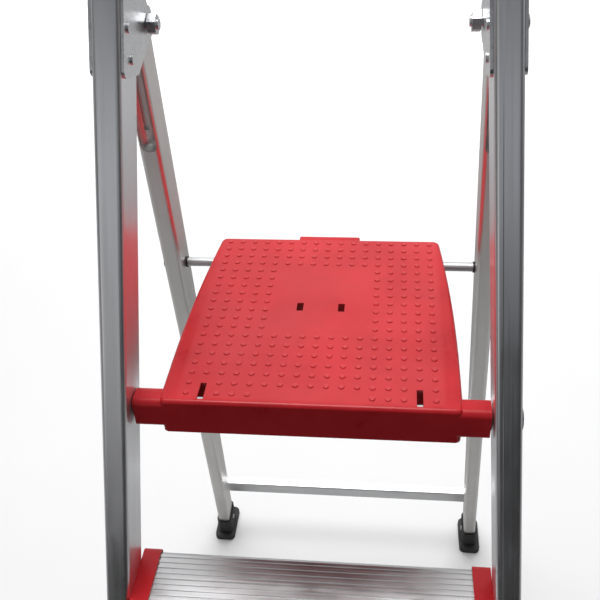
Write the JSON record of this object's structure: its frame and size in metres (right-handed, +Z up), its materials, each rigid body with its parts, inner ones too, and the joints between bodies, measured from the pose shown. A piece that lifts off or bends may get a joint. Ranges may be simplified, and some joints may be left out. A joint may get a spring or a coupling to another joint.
{
  "type": "step ladder",
  "caption": "Folding aluminium step ladder with a studded red moulded platform, riveted treads, guard bow and rubber feet.",
  "frame": {"origin": "on the floor, at the centre of the base", "axes": "+X across the ladder, +Y to the rear, +Z up; the climbing side faces -Y"},
  "size_m": [0.547, 0.8794, 1.496],
  "materials": {
    "rail_aluminium": "satin extruded, fine lengthwise die lines",
    "leg_aluminium": "satin extruded, fine lengthwise die lines",
    "tread_aluminium": "ribbed satin extrusion",
    "round_tube_aluminium": "brushed round tube",
    "rivet_aluminium": "bright drawn",
    "zinc_steel": "zinc plated",
    "red_plastic": "moulded, semi-gloss",
    "black_plastic": "moulded nylon",
    "black_rubber": "matt moulded"
  },
  "bodies": {
    "front_frame": {"axle_caps": "black_plastic", "axle_washers": "black_plastic", "front_foot_left": "black_rubber", "front_foot_right": "black_rubber", "front_foot_screws": "zinc_steel", "front_rail_left": "rail_aluminium", "front_rail_right": "rail_aluminium", "guard_bow": "round_tube_aluminium", "hinge_bolt_left": "zinc_steel", "hinge_bolt_right": "zinc_steel", "hinge_cheek_inner_left": "zinc_steel", "hinge_cheek_inner_right": "zinc_steel", "hinge_cheek_outer_left": "zinc_steel", "hinge_cheek_outer_right": "zinc_steel", "hinge_nuts": "zinc_steel", "hinge_rivets": "rivet_aluminium", "platform_axle": "round_tube_aluminium", "rail_cap_left": "red_plastic", "rail_cap_right": "red_plastic", "rail_cap_screws": "zinc_steel", "tread_1": "tread_aluminium", "tread_1_bracket_left": "red_plastic", "tread_1_bracket_right": "red_plastic", "tread_2": "tread_aluminium", "tread_2_bracket_left": "red_plastic", "tread_2_bracket_right": "red_plastic", "tread_3": "tread_aluminium", "tread_3_bracket_left": "red_plastic", "tread_3_bracket_right": "red_plastic", "tread_rivets": "rivet_aluminium"},
    "rear_frame": {"brace_rivets": "rivet_aluminium", "cross_bar_caps": "black_plastic", "cross_bar_collars": "black_plastic", "hinge_sleeve_left": "zinc_steel", "hinge_sleeve_right": "zinc_steel", "hinge_washers": "black_plastic", "rear_brace_1": "leg_aluminium", "rear_brace_2": "leg_aluminium", "rear_cross_bar": "round_tube_aluminium", "rear_foot_left": "black_rubber", "rear_foot_right": "black_rubber", "rear_foot_screws": "zinc_steel", "rear_leg_left": "leg_aluminium", "rear_leg_right": "leg_aluminium"},
    "platform": {"axle_clips": "zinc_steel", "platform_shell": "red_plastic"}
  },
  "joints": [
    {"name": "rear_frame_fold", "type": "hinge", "parent": "front_frame", "child": "rear_frame", "pos_m": [0, 0.02561, 1.198], "axis": [-1, 0, 0], "range_deg": [0, 32]},
    {"name": "platform_fold", "type": "hinge", "parent": "front_frame", "child": "platform", "pos_m": [0, -0.12897, 0.861], "axis": [1, 0, 0], "range_deg": [0, 70]}
  ],
  "couplings": [
    {"joint": "platform_fold", "follows": "rear_frame_fold", "ratio": 2.1875}
  ]
}
